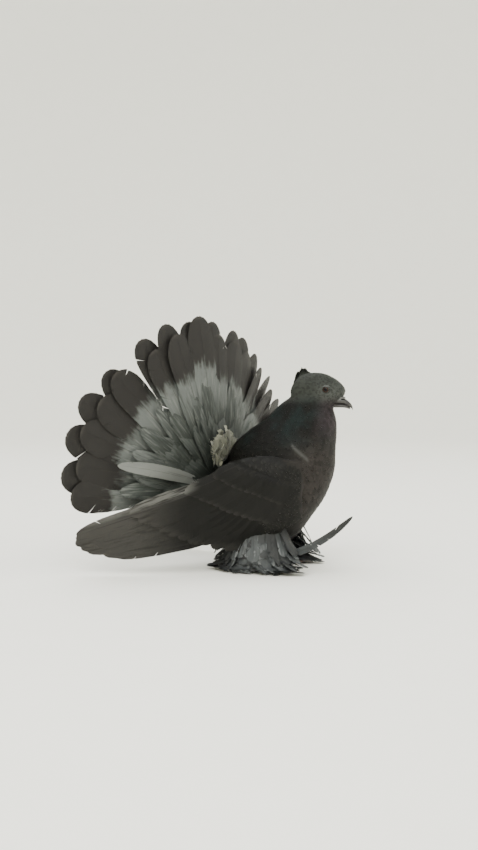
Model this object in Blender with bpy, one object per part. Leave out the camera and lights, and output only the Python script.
"""A displaying fantail pigeon, life size, as a still museum model.

The bird faces +X, its left side is +Y, and it stands on the floor at z = 0. Sizes are in millimetres and
become metres when a mesh is made. The body is a stack of level oval rings; head, bill, legs and toes are
lofts; every feather is a thin closed blade whose root is sunk in the piece that it grows from.
"""
import math
import random

import bmesh
import bpy
from mathutils import Matrix, Vector

MM = 0.001
GAP = 0.3
SHARP_ANGLE = math.radians(40)
SEED = 11

# Body: level rings of torso and neck as height, middle along X, half length, half width
BODY_RINGS = (
    (21, -6, 10, 7),
    (25, -6, 26, 19),
    (35, -7, 38, 31),
    (50, -4, 46, 40),
    (69, 4, 51, 44),
    (93, 10, 54, 44.5),
    (117, 14, 52, 38),
    (131, 22, 45, 31),
    (143, 30.5, 36, 25.5),
    (157, 36, 27, 20),
    (167, 44, 20, 16),
    (173, 46, 13, 12),
)
BODY_SIDES = 28
BODY_LEVELS = 22
BODY_LEVEL_BUNCHING = 0.35
NECK_FOOT_Z = 124
NAPE_MIDDLE = Vector((44, 0, 161))
NAPE_NORMAL = Vector((0.31, 0, 0.95)).normalized()

# Head: upright rings as place along X, top, bottom, half width
HEAD_RINGS = (
    (21.5, 173, 165, 5),
    (25, 179, 158, 10.5),
    (33, 186.5, 152, 14),
    (44, 188, 150, 15),
    (54, 187, 151, 14.6),
    (62, 183.5, 154, 12.8),
    (66, 181, 157.5, 11.3),
    (69.5, 178, 161.5, 9),
    (72.5, 174.5, 165.5, 6),
    (74, 171, 168.5, 2.5),
)
HEAD_SIDES = 20
HEAD_LEVELS = 14
EYE_MIDDLE = Vector((58.5, 9.6, 171.5))
EYE_RADIUS = 4.7
LID_THICKNESS = 1.0
LID_DEPTH = 1.3
LID_OUT = 2.6
LID_SHARE = 0.9
LID_GRID = (14, 6)

# Bill: rings as place along X, middle height, half height, half width
UPPER_BILL_RINGS = (
    (65, 161.6, 3.6, 4.6),
    (70, 161.2, 3.3, 4.0),
    (75, 159.6, 2.6, 2.9),
    (79, 156.9, 2.0, 1.9),
    (81, 154.2, 1.3, 1.1),
    (81.4, 152.2, 0.5, 0.5),
)
LOWER_BILL_RINGS = (
    (64, 156.3, 1.7, 4.2),
    (70, 156.1, 1.5, 3.5),
    (75, 155.3, 1.1, 2.4),
    (78.6, 153.7, 0.6, 1.2),
)
BILL_SIDES = 14
MOUTH_Z = 157.9
MOUTH_MIDDLE = Vector((71, 0, MOUTH_Z))
MOUTH_SIZES = (16, 30, 0.7)
CERE_PLACE = Vector((70.6, 2.1, 164.3))
CERE_RADII = (3.4, 2.0, 1.7)
NOSTRIL_PLACE = Vector((74, 3.3, 163))
NOSTRIL_SIZES = (3.4, 1.6, 0.8)

# Crest: rows of blades as count, root along X, root height, length and forward lean
CREST_ROWS = ((5, 26, 171, 23, 0.28), (4, 31, 176, 17, 0.16), (3, 36, 180, 11, 0))
CREST_SPREAD = 7
CREST_STAGGER = 1.6
CREST_ROUNDING = (1.5, 3)
CREST_FLARE = 0.4
CREST_TURN = 0.35
CREST_TAPER = 0.3
CREST_BOW = -2
CREST_WIDTH = 7.5
CREST_THICKNESS = 1.1

# Tail fan: where it springs from, how it stands, and its two layers of feathers
FAN_ROOT = Vector((-56, 0, 73))
FAN_YAW = math.radians(22)
FAN_ROLL = math.radians(9)
FAN_LEAN = math.radians(1)
FAN_SWEEP = {"right": math.radians(15), "left": math.radians(10)}
FAN_SWEEP_OVER = math.radians(40)
FAN_SPREAD = math.radians(83.5)
FAN_FRONT_TURN = math.radians(-2)
FAN_BACK_TURN = math.radians(-4.5)
FAN_CLEFT = math.radians(27)
FAN_CLEFT_PUSH = math.radians(3.5)
FAN_CLEFT_REACH = math.radians(12)
FAN_FRONT = 15
FAN_FOLDED_LEFT = 1
FAN_START = 18
FAN_FRONT_LENGTH = 137
FAN_MIDDLE_LENGTH = 154
FAN_BACK_LENGTH = 149
FAN_SHORTENING = 5
FAN_UNEVENNESS = (0.98, 1.03)
FAN_WIDTH = 37
FAN_BACK_WIDTH = 32
FAN_THICKNESS = 0.7
FAN_STEP = 1.05
FAN_BACK_STEPS = {"right": 3.5, "left": 4.5}
FAN_BOW = 3
FAN_CORE_RADIUS = 22
FAN_CORE_SIDES = 24
FAN_CORE_FACE = 3
FAN_CORE_RINGS = ((3, 0.86), (0, 1), (-13, 1), (-17, 0.8), (-19, 0.45))
PARTING_REACH = 60
TAIL_ROOT_RADII = (15, 18, 19)
TAIL_ROOT_AHEAD = 9

# Wings: how far each stands off the body in front and behind, and the feathered arm inside
WING_SPLAY = {"right": math.radians(18), "left": math.radians(8)}
WING_SPLAY_X = 10
WING_FRONT_X = 46
WING_REST_Z = 80
WING_MARGIN_BACK = 7.5
WING_MARGIN_FRONT = 3.5
WING_MARGIN_X = 30
WING_HUG_X = -60
WING_HUG_Z = (30, 125)
WING_EDGE_X = {"right": 44, "left": 38}
WING_CORE_BACK_X = -46
WING_CORE_FRONT = (106, 52)
WING_CORE_BACK = (90, 34)
WING_CORE_SWELL = 14
WING_CORE_GRID = (7, 8)
WING_CORE_THICKNESS = (2, 8)
WING_CORE_ROUNDING = 1.2
WING_CORE_THINNING = 0.2
WING_UNEVENNESS = (0.98, 1.02)
BLADE_THICKNESS = 0.6
RISE_SHARE = 0.3

# Legs and feet
HIP = Vector((-8, 19, 42))
ANKLE = Vector((-3, 22, 6))
THIGH_RADIUS = 13
ANKLE_RADIUS = 6.5
FOOT_TOP = 6
FOOT_RADII = (8.5, 7.5, 5)
FOOT_SINK = 3.2
TOE_RADIUS = 2.9
TOE_MIDDLE_Z = 2.9
TOE_DROP = 0.6
TOE_TAPER = (1.1, 0.72)
TOE_SHARES = (0.1, 0.35, 0.6, 0.85, 1)
LEG_SHARES = (0, 0.25, 0.5, 0.75, 1)
LEG_SINK = 2
TOES = {"middle": (2, 33), "inner": (-36, 24), "outer": (38, 25), "hind": (186, 17)}
CLAW_LENGTH = 7
CLAW_RADIUS = 1.5
CLAW_SHARES = (0, 0.3, 0.6, 0.85, 1)
CLAW_ARCH = (0.5, 1.1)
CLAW_TAPER = (1, 0.15)
FEATHER_START = 2
FOOT_BLADES = 8
FOOT_BLADE_Z = (3.4, 4.1)
FOOT_FRINGE = (22, 158)
FOOT_BLADE_LENGTHS = (46, 34)
FOOT_BLADE_WIDTH = 12
FOOT_BLADE_TILT = 0.12
SHANK_FRINGE = (25, 155)
SHANK_STAGGER = 1.1
UNEVENNESS = (0.85, 1.1)
PLUME_ROOT = Vector((2, -1, 7))
PLUME_RUN = Vector((1, -0.13, 0))
PLUME_RISE = 44
PLUME_LENGTH = 92
PLUME_WIDTH = 8
PLUME_THICKNESS = 0.8

PLUMAGE = {
    "head": (0.075, 0.083, 0.075),
    "neck": (0.035, 0.045, 0.040),
    "torso": (0.016, 0.016, 0.013),
    "wing": (0.030, 0.029, 0.026),
    "tail": (0.120, 0.125, 0.120),
    "foot": (0.090, 0.098, 0.105),
    "horn": (0.060, 0.058, 0.050),
    "eye": (0.180, 0.060, 0.012),
}

# Blades: share of the length and share of the full width at each station
FAN_BLADE = (
    (0, 0.09),
    (0.08, 0.09),
    (0.24, 0.4),
    (0.55, 0.74),
    (0.82, 1),
    (0.93, 0.9),
    (0.985, 0.58),
    (1, 0.25),
)
LONG_BLADE = ((0, 0.25), (0.2, 0.8), (0.6, 1), (0.88, 0.82), (0.97, 0.5), (1, 0.2))
SHORT_BLADE = ((0, 0.35), (0.35, 0.95), (0.75, 1), (0.93, 0.7), (1, 0.3))

# Hanging rows of the shank: count, root height, droop, lengths
SHANK_ROWS = ((7, 14, 0.18, (40, 33)), (7, 21, 0.34, (38, 31)), (6, 27.5, 0.55, (34, 28)))

# Wing tiers: name, count, first and last root (X, Z), droops in degrees, lengths at both ends and how much
# longer in the middle, width, lift, slope, rise from the root, blade, sag of the tip
WING_TIERS = (
    ("primary", 8, ((-24, 38), (-30, 80)), (12, 18.5), (106, 133, 12), 18, -4.8, -0.16, 0, LONG_BLADE, 1),
    ("secondary", 6, ((22, 76), (-22, 88)), (54, 19), (68, 92, 0), 21, -1.2, -0.11, 2, LONG_BLADE, 0),
    ("greater covert", 6, ((31, 80), (-16, 96)), (56, 24), (38, 46, 0), 17, 1.8, -0.11, 4, SHORT_BLADE, 0),
    ("median covert", 5, ((37, 90), (-6, 106)), (58, 28), (26, 30, 0), 16, 4.4, -0.1, 6.5, SHORT_BLADE, 0),
)


def clear_scene():
    """Removes whatever the scene holds."""
    for thing in list(bpy.data.objects):
        bpy.data.objects.remove(thing)


def smooth_step(share):
    """Eases from 0 to 1 as share goes from 0 to 1."""
    share = min(max(share, 0.0), 1.0)
    return share * share * (3 - 2 * share)


def blend(low, high, share):
    """The value a share of the way from low to high."""
    return low + (high - low) * share


def read_rings(rings, place):
    """The ring values at a place between the listed rings, on a smooth curve through them."""
    places = [ring[0] for ring in rings]
    place = min(max(place, places[0]), places[-1])
    last = len(rings) - 2
    index = next((i for i in range(last + 1) if place <= places[i + 1]), last)
    share = (place - places[index]) / (places[index + 1] - places[index])
    values = []
    for column in range(1, len(rings[0])):
        def slope(i):
            low, high = max(i - 1, 0), min(i + 1, len(rings) - 1)
            return (rings[high][column] - rings[low][column]) / (places[high] - places[low])
        span = places[index + 1] - places[index]
        start, end = rings[index][column], rings[index + 1][column]
        cube, square = share ** 3, share ** 2
        values.append(
            (2 * cube - 3 * square + 1) * start
            + (cube - 2 * square + share) * span * slope(index)
            + (3 * square - 2 * cube) * end
            + (cube - square) * span * slope(index + 1)
        )
    return values


def mesh_object(name, points, faces):
    """An object in the scene from points in millimetres, with its faces turned outward."""
    mesh = bpy.data.meshes.new(name)
    mesh.from_pydata([Vector(point) * MM for point in points], [], faces)
    work = bmesh.new()
    work.from_mesh(mesh)
    bmesh.ops.recalc_face_normals(work, faces=work.faces)
    work.to_mesh(mesh)
    work.free()
    thing = bpy.data.objects.new(name, mesh)
    bpy.context.scene.collection.objects.link(thing)
    return thing


def loft(name, rings, sides):
    """A closed body through oval rings, each a middle point and two half axes, with flat ends."""
    points = []
    for middle, first, second in rings:
        for side in range(sides):
            turn = 2 * math.pi * side / sides
            points.append(middle + first * math.cos(turn) + second * math.sin(turn))
    faces = [tuple(range(sides)), tuple(reversed(range(len(points) - sides, len(points))))]
    for low in range(len(rings) - 1):
        for side in range(sides):
            after = (side + 1) % sides
            base, top = low * sides, (low + 1) * sides
            faces.append((base + side, base + after, top + after, top + side))
    return mesh_object(name, points, faces)


def ball(name, middle, radii, turned=Matrix.Identity(3), sides=16, levels=10):
    """An ellipsoid with its poles along its own Z axis."""
    work = bmesh.new()
    bmesh.ops.create_uvsphere(work, u_segments=sides, v_segments=levels, radius=1)
    for vert in work.verts:
        scaled = Vector((vert.co.x * radii[0], vert.co.y * radii[1], vert.co.z * radii[2]))
        vert.co = (middle + turned @ scaled) * MM
    mesh = bpy.data.meshes.new(name)
    work.to_mesh(mesh)
    work.free()
    thing = bpy.data.objects.new(name, mesh)
    bpy.context.scene.collection.objects.link(thing)
    return thing


def box(name, middle, sizes):
    """A block from its middle and its three sizes."""
    work = bmesh.new()
    bmesh.ops.create_cube(work, size=1)
    for vert in work.verts:
        vert.co = (middle + Vector([vert.co[i] * sizes[i] for i in range(3)])) * MM
    mesh = bpy.data.meshes.new(name)
    work.to_mesh(mesh)
    work.free()
    thing = bpy.data.objects.new(name, mesh)
    bpy.context.scene.collection.objects.link(thing)
    return thing


def combine(target, operation, tools, solver="EXACT"):
    """Joins target with tools or cuts it by them, applies the result and removes the tools."""
    group = bpy.data.collections.new("combined pieces")
    bpy.context.scene.collection.children.link(group)
    for tool in tools:
        bpy.context.scene.collection.objects.unlink(tool)
        group.objects.link(tool)
    modifier = target.modifiers.new("combine", "BOOLEAN")
    modifier.operation = operation
    modifier.operand_type = "COLLECTION"
    modifier.collection = group
    modifier.solver = solver
    bpy.context.view_layer.update()
    evaluated = target.evaluated_get(bpy.context.evaluated_depsgraph_get())
    result = bpy.data.meshes.new_from_object(evaluated)
    target.modifiers.clear()
    target.data = result
    for tool in tools:
        bpy.data.objects.remove(tool)
    bpy.data.collections.remove(group)
    return target


def keep_largest(thing):
    """Drops every closed surface of a mesh but the one with the largest volume."""
    work = bmesh.new()
    work.from_mesh(thing.data)
    unseen = set(work.faces)
    groups = []
    while unseen:
        front = [unseen.pop()]
        group = list(front)
        while front:
            face = front.pop()
            for edge in face.edges:
                for other in edge.link_faces:
                    if other in unseen:
                        unseen.discard(other)
                        group.append(other)
                        front.append(other)
        groups.append(group)

    def volume(group):
        total = 0.0
        for face in group:
            corners = [vert.co for vert in face.verts]
            for low in range(1, len(corners) - 1):
                total += corners[0].dot(corners[low].cross(corners[low + 1]))
        return total

    groups.sort(key=volume)
    scraps = [face for group in groups[:-1] for face in group]
    bmesh.ops.delete(work, geom=scraps, context="FACES")
    work.to_mesh(thing.data)
    work.free()
    return thing


def trim(thing, point, normal):
    """Cuts away what lies beyond a plane and closes the cut with a flat face."""
    work = bmesh.new()
    work.from_mesh(thing.data)
    everything = list(work.verts) + list(work.edges) + list(work.faces)
    cut = bmesh.ops.bisect_plane(
        work, geom=everything, dist=1e-7, plane_co=point * MM, plane_no=normal, clear_outer=True
    )
    edges = [item for item in cut["geom_cut"] if isinstance(item, bmesh.types.BMEdge)]
    bmesh.ops.holes_fill(work, edges=edges)
    bmesh.ops.recalc_face_normals(work, faces=work.faces)
    work.to_mesh(thing.data)
    work.free()
    return thing


def blade(name, place, length, width, stations, thickness=BLADE_THICKNESS):
    """A feather's blade: place(along, across, lift) gives its points, alike on both faces."""
    points = []
    for side in (0.5, -0.5):
        for share, spread in stations:
            for edge in (-0.5, 0.5):
                points.append(place(share * length, edge * width * spread, side * thickness))
    rows = len(stations)

    def index(side, row, edge):
        return (side * rows + row) * 2 + edge

    quads = []
    for row in range(rows - 1):
        for side in (0, 1):
            quads.append([(side, row, 0), (side, row, 1), (side, row + 1, 1), (side, row + 1, 0)])
        for edge in (0, 1):
            quads.append([(0, row, edge), (0, row + 1, edge), (1, row + 1, edge), (1, row, edge)])
    for row in (0, rows - 1):
        quads.append([(0, row, 0), (0, row, 1), (1, row, 1), (1, row, 0)])
    faces = []
    for quad in quads:
        ids = [index(*corner) for corner in quad]
        faces += [(ids[0], ids[1], ids[2]), (ids[0], ids[2], ids[3])]
    return mesh_object(name, points, faces)


def straight_place(root, along, side, length, bow=0.0, sway=0.0):
    """A placing for a blade from root, arched by bow out of its own plane and by sway within it."""
    along = along.normalized()
    side = (side - along * side.dot(along)).normalized()
    face = along.cross(side)

    def place(run, across, lift):
        bend = (run / length) ** 2
        return root + along * run + side * (across + sway * bend) + face * (lift + bow * bend)

    return place


def finish_node(name, thing, colour, rough=0.6):
    """Names a finished piece, gives it its material and puts it in the bird's collection."""
    thing.name = name
    thing.data.name = name
    material = bpy.data.materials.new(name)
    material.use_nodes = True
    shader = material.node_tree.nodes["Principled BSDF"]
    shader.inputs["Base Color"].default_value = (*colour, 1)
    shader.inputs["Roughness"].default_value = rough
    thing.data.materials.clear()
    thing.data.materials.append(material)
    for polygon in thing.data.polygons:
        polygon.material_index = 0
    thing.data.shade_smooth()
    thing.data.set_sharp_from_angle(angle=SHARP_ANGLE)
    bpy.context.scene.collection.objects.unlink(thing)
    bpy.data.collections["fantail_pigeon"].objects.link(thing)
    return thing


def body_loft(name, grow=0.0):
    """The whole of torso and neck, with grow added all round."""
    low, high = BODY_RINGS[0][0], BODY_RINGS[-1][0]
    rings = []
    for level in range(BODY_LEVELS + 1):
        turn = math.pi * level / BODY_LEVELS
        height = blend(low, high, blend(level / BODY_LEVELS, 0.5 - 0.5 * math.cos(turn), BODY_LEVEL_BUNCHING))
        middle, half_length, half_width = read_rings(BODY_RINGS, height)
        lift = -grow if level == 0 else grow if level == BODY_LEVELS else 0
        rings.append((
            Vector((middle, 0, height + lift)),
            Vector((half_length + grow, 0, 0)),
            Vector((0, half_width + grow, 0)),
        ))
    return loft(name, rings, BODY_SIDES)


def body_half_width(x, z):
    """Half the body's width at a place along X and a height."""
    middle, half_length, half_width = read_rings(BODY_RINGS, z)
    share = min(abs(x - middle) / half_length, 1.0)
    return half_width * math.sqrt(1 - share * share)


def make_torso_and_neck():
    """The body, parted into torso and neck by a level cut, and from the head by a sloping one."""
    torso = body_loft("torso")
    neck = body_loft("neck")
    level = Vector((0, 0, NECK_FOOT_Z))
    up = Vector((0, 0, 1))
    trim(torso, level - up * GAP / 2, up)
    trim(neck, level + up * GAP / 2, -up)
    trim(neck, NAPE_MIDDLE - NAPE_NORMAL * GAP / 2, NAPE_NORMAL)
    finish_node("torso", torso, PLUMAGE["torso"])
    finish_node("neck", neck, PLUMAGE["neck"])


def bill_loft(name, listed, grow=0.0):
    """One half of the bill."""
    rings = []
    for index, (x, z, half_height, half_width) in enumerate(listed):
        shift = -grow if index == 0 else grow if index == len(listed) - 1 else 0
        rings.append((
            Vector((x + shift, 0, z)),
            Vector((0, half_width + grow, 0)),
            Vector((0, 0, half_height + grow)),
        ))
    return loft(name, rings, BILL_SIDES)


def upper_bill(name, grow=0.0):
    """The upper half of the bill with the two swellings of the cere at its root."""
    bill = bill_loft(name, UPPER_BILL_RINGS, grow)
    swellings = []
    for sign in (1, -1):
        middle = Vector((CERE_PLACE.x, sign * CERE_PLACE.y, CERE_PLACE.z))
        radii = [radius + grow for radius in CERE_RADII]
        swellings.append(ball("cere", middle, radii, sides=12, levels=8))
    return combine(bill, "UNION", swellings)


def head_loft():
    """The head without bill, eyes and crest."""
    low, high = HEAD_RINGS[0][0], HEAD_RINGS[-1][0]
    rings = []
    for level in range(HEAD_LEVELS + 1):
        turn = math.pi * level / HEAD_LEVELS
        x = blend(low, high, 0.5 - 0.5 * math.cos(turn))
        top, bottom, half_width = read_rings(HEAD_RINGS, x)
        rings.append((
            Vector((x, 0, (top + bottom) / 2)),
            Vector((0, half_width, 0)),
            Vector((0, 0, (top - bottom) / 2)),
        ))
    return loft("head", rings, HEAD_SIDES)


def crest_blades():
    """The small crest: rows of blades up the back of the crown, whose tips meet in a low peak."""
    blades = []
    for row, (count, root_x, root_z, length, lean) in enumerate(CREST_ROWS):
        for number in range(count):
            across = 2 * number / (count - 1) - 1
            back, down = CREST_ROUNDING
            root = Vector((root_x - back * across ** 2, CREST_SPREAD * across, root_z - down * across ** 2))
            root.x += CREST_STAGGER * (number % 2)
            along = Vector((lean, CREST_FLARE * across, 1))
            side = Vector((CREST_TURN * across, 1, 0))
            reach = length * (1 - CREST_TAPER * across ** 2)
            place = straight_place(root, along, side, reach, bow=CREST_BOW)
            made = blade(f"crest {row} {number}", place, reach, CREST_WIDTH, SHORT_BLADE, CREST_THICKNESS)
            blades.append(made)
    return blades


def mirrored(point, sign):
    """The point on the left side for sign 1, and on the right side for sign -1."""
    return Vector((point.x, point.y * sign, point.z))


def lid_ring(name, sign):
    """The raised rim round an eye, as a turned ring."""
    middle = mirrored(EYE_MIDDLE, sign) + Vector((0, sign * LID_OUT, 0))
    rings, sides = LID_GRID
    radius = EYE_RADIUS * LID_SHARE
    points = []
    for ring in range(rings):
        turn = 2 * math.pi * ring / rings
        out = Vector((math.cos(turn), 0, math.sin(turn)))
        for side in range(sides):
            roll = 2 * math.pi * side / sides
            reach = out * (radius + LID_THICKNESS * math.cos(roll))
            points.append(middle + reach + Vector((0, LID_THICKNESS * LID_DEPTH * math.sin(roll), 0)))
    faces = []
    for ring in range(rings):
        for side in range(sides):
            after, beyond = (ring + 1) % rings, (side + 1) % sides
            faces.append((
                ring * sides + side,
                ring * sides + beyond,
                after * sides + beyond,
                after * sides + side,
            ))
    return mesh_object(name, points, faces)


def make_head():
    """Head with its crest and lids, the bill in two halves and the eyes."""
    head = head_loft()
    trim(head, NAPE_MIDDLE + NAPE_NORMAL * GAP / 2, -NAPE_NORMAL)
    combine(head, "UNION", [lid_ring("lid right", -1), lid_ring("lid left", 1)] + crest_blades())
    sockets = []
    for sign in (1, -1):
        radius = EYE_RADIUS + GAP
        sockets.append(ball("socket", mirrored(EYE_MIDDLE, sign), (radius,) * 3))
    cutters = [
        upper_bill("upper socket", GAP),
        bill_loft("lower socket", LOWER_BILL_RINGS, GAP),
        box("mouth", MOUTH_MIDDLE, MOUTH_SIZES),
    ]
    combine(head, "DIFFERENCE", sockets + cutters)
    finish_node("head", keep_largest(head), PLUMAGE["head"])

    upper = upper_bill("upper_bill")
    nostrils = [box("nostril", mirrored(NOSTRIL_PLACE, sign), NOSTRIL_SIZES) for sign in (1, -1)]
    combine(upper, "DIFFERENCE", nostrils)
    trim(upper, Vector((0, 0, MOUTH_Z + GAP / 2)), Vector((0, 0, -1)))
    finish_node("upper_bill", keep_largest(upper), PLUMAGE["horn"], rough=0.4)
    lower = bill_loft("lower_bill", LOWER_BILL_RINGS)
    trim(lower, Vector((0, 0, MOUTH_Z - GAP / 2)), Vector((0, 0, 1)))
    finish_node("lower_bill", lower, PLUMAGE["horn"], rough=0.4)
    for side, sign in (("left", 1), ("right", -1)):
        eye = ball(f"eye_{side}", mirrored(EYE_MIDDLE, sign), (EYE_RADIUS,) * 3)
        finish_node(f"eye_{side}", eye, PLUMAGE["eye"], rough=0.1)


def fan_axes():
    """The fan's own directions: the way it faces, its right hand and its middle line."""
    face = Vector((math.cos(FAN_YAW), -math.sin(FAN_YAW), 0))
    right = Vector((-math.sin(FAN_YAW), -math.cos(FAN_YAW), 0))
    upright = Vector((0, 0, 1)) * math.cos(FAN_LEAN) - face * math.sin(FAN_LEAN)
    rolled = upright * math.cos(FAN_ROLL) + right * math.sin(FAN_ROLL)
    return face, right * math.cos(FAN_ROLL) - upright * math.sin(FAN_ROLL), rolled


def fan_place(angle, depth, length):
    """A placing for the feather at an angle from the fan's middle line, positive to its right."""
    face, right, upright = fan_axes()
    sweep = FAN_SWEEP["right" if angle > 0 else "left"] * smooth_step(abs(angle) / FAN_SWEEP_OVER)
    outward = right * math.copysign(math.cos(sweep), angle) - face * math.sin(sweep)
    along = upright * math.cos(angle) + outward * abs(math.sin(angle))
    side = (outward * math.cos(angle) - upright * abs(math.sin(angle))) * math.copysign(1, angle)
    front = side.cross(along).normalized()
    if front.dot(face) < 0:
        front = -front

    def place(run, across, lift):
        arch = FAN_BOW * math.sin(math.pi * run / length)
        reach = FAN_START + run
        return FAN_ROOT + along * reach + side * across + front * (lift + depth + arch)

    return place


def fan_angle(place_in_row, turn):
    """The angle of a feather a number of places from the middle one, pushed aside at the fan's cleft."""
    angle = turn + place_in_row * 2 * FAN_SPREAD / (FAN_FRONT - 1)
    offset = (angle - FAN_CLEFT) / FAN_CLEFT_REACH
    return angle + math.copysign(FAN_CLEFT_PUSH * math.exp(-offset ** 2), offset)


def fan_length(full, angle):
    """How far a feather runs past its root, shorter towards the fan's two ends and a little uneven."""
    return (full - FAN_SHORTENING * (angle / FAN_SPREAD) ** 2) * random.uniform(*FAN_UNEVENNESS)


def fan_feathers():
    """The blades of both layers, as a list for each side of the tail."""
    blades = {"right": [], "left": []}
    centre = FAN_FRONT // 2
    for number in range(FAN_FOLDED_LEFT, FAN_FRONT):
        place_in_row = number - centre
        angle = fan_angle(place_in_row, FAN_FRONT_TURN)
        length = fan_length(FAN_FRONT_LENGTH if place_in_row else FAN_MIDDLE_LENGTH, angle)
        place = fan_place(angle, -FAN_STEP * abs(place_in_row), length)
        side = "right" if place_in_row >= 0 else "left"
        made = blade(f"front {number}", place, length, FAN_WIDTH, FAN_BLADE, FAN_THICKNESS)
        blades[side].append(made)
    for number in range(FAN_FOLDED_LEFT, FAN_FRONT - 1):
        place_in_row = number - centre + 0.5
        angle = fan_angle(place_in_row, FAN_BACK_TURN)
        side = "right" if place_in_row > 0 else "left"
        depth = -FAN_STEP * (FAN_BACK_STEPS[side] + abs(place_in_row))
        length = fan_length(FAN_BACK_LENGTH, angle)
        place = fan_place(angle, depth, length)
        made = blade(f"back {number}", place, length, FAN_BACK_WIDTH, FAN_BLADE, FAN_THICKNESS)
        blades[side].append(made)
    return blades


def make_tail():
    """The fan in its two halves, each on its own half of the root, and the rump that carries them."""
    face, right, upright = fan_axes()
    turned = Matrix((face, -right, upright)).transposed()
    blades = fan_feathers()
    parting = -FAN_SPREAD / (FAN_FRONT - 1)
    across = right * math.cos(parting) - upright * math.sin(parting)
    front = FAN_ROOT + face * FAN_CORE_FACE
    for side, outward in (("right", across), ("left", -across)):
        rings = []
        for depth, share in FAN_CORE_RINGS:
            reach = FAN_CORE_RADIUS * share
            rings.append((FAN_ROOT + face * depth, right * reach, upright * reach))
        core = loft(f"fan core {side}", rings, FAN_CORE_SIDES)
        combine(core, "UNION", blades[side])
        other_side = box("other side", Vector((0, 0, 0)), (PARTING_REACH,) * 3)
        turn = Matrix((outward, face.cross(outward), face)).transposed().to_4x4()
        middle = FAN_ROOT - outward * (PARTING_REACH - GAP) / 2
        other_side.data.transform(Matrix.Translation(middle * MM) @ turn)
        combine(core, "DIFFERENCE", [other_side])
        finish_node(f"tail_fan_{side}", keep_largest(core), PLUMAGE["tail"])
    rump = ball("tail_root", FAN_ROOT + face * TAIL_ROOT_AHEAD, TAIL_ROOT_RADII, turned, 24, 14)
    trim(rump, front + face * GAP, -face)
    combine(rump, "DIFFERENCE", [body_loft("body", GAP)])
    finish_node("tail_root", keep_largest(rump), PLUMAGE["tail"])


def wing_face(side, x, z, lift):
    """The point of a folded wing's outer face above a place in the side view, raised by lift."""
    sign = 1 if side == "left" else -1
    x_on_body = min(max(x, WING_SPLAY_X), WING_FRONT_X)
    forward = smooth_step((x_on_body - WING_MARGIN_X) / (WING_FRONT_X - WING_MARGIN_X))
    plan = body_half_width(x_on_body, WING_REST_Z) + blend(WING_MARGIN_BACK, WING_MARGIN_FRONT, forward)
    plan += math.tan(WING_SPLAY[side]) * max(WING_SPLAY_X - x, 0)
    hug = smooth_step(1 - x / WING_HUG_X)
    widest = read_rings(BODY_RINGS, WING_REST_Z)[2]
    level = min(max(z, WING_HUG_Z[0]), WING_HUG_Z[1])
    tuck = widest - read_rings(BODY_RINGS, level)[2]
    return Vector((x, sign * (plan - hug * tuck + lift), z))


def wing_place(side, root, droop, lift, slope, rise, sag, length):
    """A placing on the wing for a blade that runs back from a root and down by its droop.

    The blade climbs by rise from its sunk root to its lift, and its slope lays its lower edge outermost.
    """
    back = Vector((-math.cos(droop), -math.sin(droop)))
    up = Vector((back.y, -back.x))

    def place(run, across, height):
        share = run / length
        spot = Vector(root) + back * run + up * across
        sunk = rise * (1 - smooth_step(share / RISE_SHARE))
        out = lift + height + slope * across - sunk
        return wing_face(side, spot.x, spot.y - sag * share * share, out)

    return place


def wing_core(side):
    """The feathered arm: a shield along the body's side, thick in front and thin behind."""
    points = []
    columns, rows = WING_CORE_GRID
    thin, thick = WING_CORE_THICKNESS
    for outer in (True, False):
        for column in range(columns + 1):
            share = column / columns
            x = blend(WING_EDGE_X[side], WING_CORE_BACK_X, share)
            swell = WING_CORE_SWELL * math.sin(math.pi * share)
            top = blend(WING_CORE_FRONT[0], WING_CORE_BACK[0], share) + swell
            bottom = blend(WING_CORE_FRONT[1], WING_CORE_BACK[1], share) - swell
            for row in range(rows + 1):
                level = row / rows
                fullness = max(1 - (2 * level - 1) ** 4, 0) * max(1 - (2 * share - 1) ** 6, 0)
                edge = math.sqrt(fullness)
                if outer:
                    lift = -WING_CORE_ROUNDING * (1 - edge)
                else:
                    lift = -blend(thin, thick, edge) * (1 - WING_CORE_THINNING * share)
                points.append(wing_face(side, x, blend(bottom, top, level), lift))
    wide = rows + 1
    half = (columns + 1) * wide

    def index(outer, column, row):
        return (0 if outer else half) + column * wide + row

    faces = []
    for column in range(columns):
        for row in range(rows):
            corners = [(column, row), (column + 1, row), (column + 1, row + 1), (column, row + 1)]
            for outer in (True, False):
                ids = [index(outer, *corner) for corner in corners]
                faces += [(ids[0], ids[1], ids[2]), (ids[0], ids[2], ids[3])]
    rim = [(0, row) for row in range(rows)]
    rim += [(column, rows) for column in range(columns)]
    rim += [(columns, row) for row in range(rows, 0, -1)]
    rim += [(column, 0) for column in range(columns, 0, -1)]
    for here, after in zip(rim, rim[1:] + rim[:1]):
        faces.append((index(True, *here), index(True, *after), index(False, *after), index(False, *here)))
    return mesh_object(f"wing core {side}", points, faces)


def wing_tier(side, name, count, roots, droops, lengths, width, lift, slope, rise, stations, sag):
    """One tier of blades from the first, lowest in front, to the last, highest behind."""
    tier = []
    for number in range(count):
        share = number / (count - 1)
        root = [blend(roots[0][axis], roots[1][axis], share) for axis in (0, 1)]
        droop = math.radians(blend(*droops, share))
        length = blend(lengths[0], lengths[1], share) * random.uniform(*WING_UNEVENNESS)
        length += lengths[2] * math.sin(math.pi * share)
        place = wing_place(side, root, droop, lift, slope, rise, sag, length)
        tier.append(blade(f"{name} {number}", place, length, width, stations))
    return tier


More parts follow.
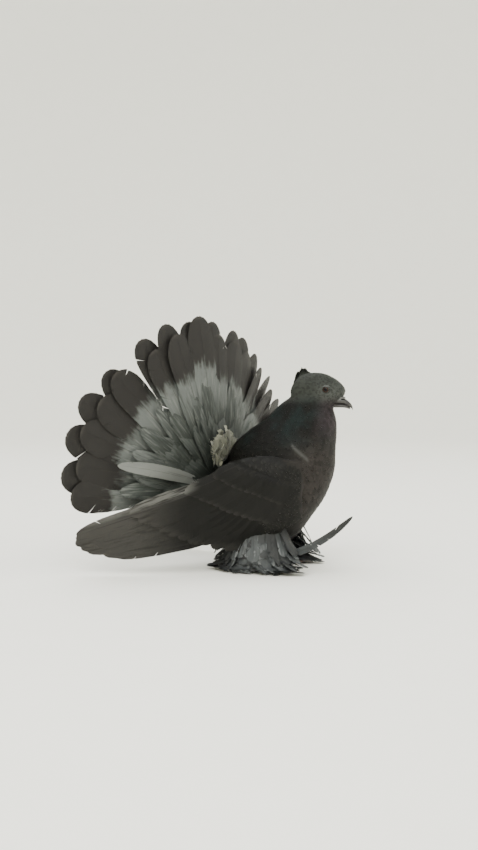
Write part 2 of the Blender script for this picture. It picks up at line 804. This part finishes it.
def make_wings():
    """Each wing: the feathered arm with its tiers of blades, cut clear of the body."""
    for side in ("right", "left"):
        core = wing_core(side)
        blades = []
        for tier in WING_TIERS:
            blades += wing_tier(side, *tier)
        combine(core, "UNION", blades, solver="MANIFOLD")
        combine(core, "DIFFERENCE", [body_loft("body", GAP)], solver="MANIFOLD")
        finish_node(f"wing_{side}", keep_largest(core), PLUMAGE["wing"])


def tube(name, path, radii, sides=10):
    """A closed tapering tube through points, each ring square to the path."""
    rings = []
    for index, middle in enumerate(path):
        ahead = path[min(index + 1, len(path) - 1)] - path[max(index - 1, 0)]
        side = ahead.cross(Vector((0, 0, 1)))
        if side.length < 0.001 * ahead.length:
            side = Vector((0, 1, 0))
        side = side.normalized() * radii[index]
        rise = side.cross(ahead).normalized() * radii[index]
        rings.append((middle, side, rise))
    return loft(name, rings, sides)


def foot_feathers(sign):
    """The fringe of long feathers round the outer side of a foot, near the floor."""
    blades = []
    for number in range(FOOT_BLADES):
        share = number / (FOOT_BLADES - 1)
        turn = math.radians(blend(FOOT_FRINGE[0], FOOT_FRINGE[1], share))
        length = blend(*FOOT_BLADE_LENGTHS, math.sin(math.pi * share)) * random.uniform(*UNEVENNESS)
        along = Vector((math.cos(turn), sign * math.sin(turn), 0))
        root = mirrored(ANKLE, sign) + along * FEATHER_START
        root.z = FOOT_BLADE_Z[number % 2]
        side = Vector((-along.y, along.x, FOOT_BLADE_TILT))
        place = straight_place(root, along, side, length)
        blades.append(blade(f"fringe {number}", place, length, FOOT_BLADE_WIDTH, LONG_BLADE))
    return blades


def shank_feathers(sign):
    """The upper fringes, which hang from the shank over the foot, with one long feather on the right."""
    blades = []
    for row, (count, root_z, droop, lengths) in enumerate(SHANK_ROWS):
        for number in range(count):
            share = number / (count - 1)
            turn = math.radians(blend(*SHANK_FRINGE, share))
            length = blend(*lengths, math.sin(math.pi * share)) * random.uniform(*UNEVENNESS)
            along = Vector((math.cos(turn), sign * math.sin(turn), -droop))
            root = mirrored(ANKLE, sign) + Vector((along.x, along.y, 0)) * FEATHER_START
            root.z = root_z + SHANK_STAGGER * (number % 2)
            side = Vector((-along.y, along.x, 0))
            place = straight_place(root, along, side, length)
            blades.append(blade(f"hanging {row} {number}", place, length, FOOT_BLADE_WIDTH, LONG_BLADE))
    if sign < 0:
        root = mirrored(ANKLE, sign) + PLUME_ROOT
        place = straight_place(root, PLUME_RUN, Vector((0, 0, 1)), PLUME_LENGTH, sway=PLUME_RISE)
        blades.append(blade("long plume", place, PLUME_LENGTH, PLUME_WIDTH, LONG_BLADE, PLUME_THICKNESS))
    return blades


def claw_tube(name, tip, along, grow=0.0):
    """A claw that runs on from the tip of its toe, with grow added all round."""
    path = []
    for share in CLAW_SHARES:
        rise = CLAW_ARCH[0] - CLAW_ARCH[1] * share ** 2
        path.append(tip + along * (GAP + CLAW_LENGTH * share) + Vector((0, 0, rise)))
    radii = [CLAW_RADIUS * blend(*CLAW_TAPER, share) + grow for share in CLAW_SHARES]
    path[0] -= along * grow
    path[-1] += along * grow
    return tube(name, path, radii, sides=8)


def make_leg(side, sign):
    """A short feathered leg, from inside the body down to the foot."""
    path = [blend(mirrored(ANKLE, sign), mirrored(HIP, sign), share) for share in LEG_SHARES]
    path[0] -= Vector((0, 0, LEG_SINK))
    radii = [blend(ANKLE_RADIUS, THIGH_RADIUS, smooth_step(share)) for share in LEG_SHARES]
    leg = tube(f"leg {side}", path, radii, sides=16)
    trim(leg, Vector((0, 0, FOOT_TOP + GAP)), Vector((0, 0, -1)))
    combine(leg, "UNION", shank_feathers(sign))
    combine(leg, "DIFFERENCE", [body_loft("body", GAP)])
    finish_node(f"leg_{side}", keep_largest(leg), PLUMAGE["foot"])


def make_foot(side, sign):
    """A foot with its toes and fringe, flat underneath, and a claw at the end of each toe."""
    ankle = mirrored(ANKLE, sign)
    foot = ball(f"foot {side}", ankle - Vector((0, 0, FOOT_SINK)), FOOT_RADII)
    toes = []
    sockets = []
    for name, (turn, length) in TOES.items():
        heading = math.radians(turn)
        along = Vector((math.cos(heading), sign * math.sin(heading), 0))
        start = Vector((ankle.x, ankle.y, TOE_MIDDLE_Z))
        path = [start + along * length * share - Vector((0, 0, TOE_DROP * share)) for share in TOE_SHARES]
        radii = [TOE_RADIUS * blend(*TOE_TAPER, share) for share in TOE_SHARES]
        toes.append(tube(f"toe {name}", path, radii))
        claw = claw_tube(f"claw {name}", path[-1], along)
        sockets.append(claw_tube(f"claw socket {name}", path[-1], along, GAP))
        finish_node(f"claw_{name}_{side}", claw, PLUMAGE["horn"], rough=0.35)
    combine(foot, "UNION", toes + foot_feathers(sign))
    combine(foot, "DIFFERENCE", sockets)
    trim(foot, Vector((0, 0, 0)), Vector((0, 0, -1)))
    trim(foot, Vector((0, 0, FOOT_TOP)), Vector((0, 0, 1)))
    finish_node(f"foot_{side}", keep_largest(foot), PLUMAGE["foot"])


def stand_at_origin():
    """Moves the whole bird so that its box stands centred on the origin."""
    things = list(bpy.data.collections["fantail_pigeon"].objects)
    corners = [vert.co for thing in things for vert in thing.data.vertices]
    low = [min(corner[axis] for corner in corners) for axis in range(3)]
    high = [max(corner[axis] for corner in corners) for axis in range(3)]
    shift = Vector((-(low[0] + high[0]) / 2, -(low[1] + high[1]) / 2, -low[2]))
    for thing in things:
        thing.data.transform(Matrix.Translation(shift))


def build():
    """Makes every piece of the bird."""
    clear_scene()
    random.seed(SEED)
    collection = bpy.data.collections.new("fantail_pigeon")
    bpy.context.scene.collection.children.link(collection)
    make_torso_and_neck()
    make_head()
    make_tail()
    make_wings()
    for side, sign in (("left", 1), ("right", -1)):
        make_leg(side, sign)
        make_foot(side, sign)
    stand_at_origin()


build()
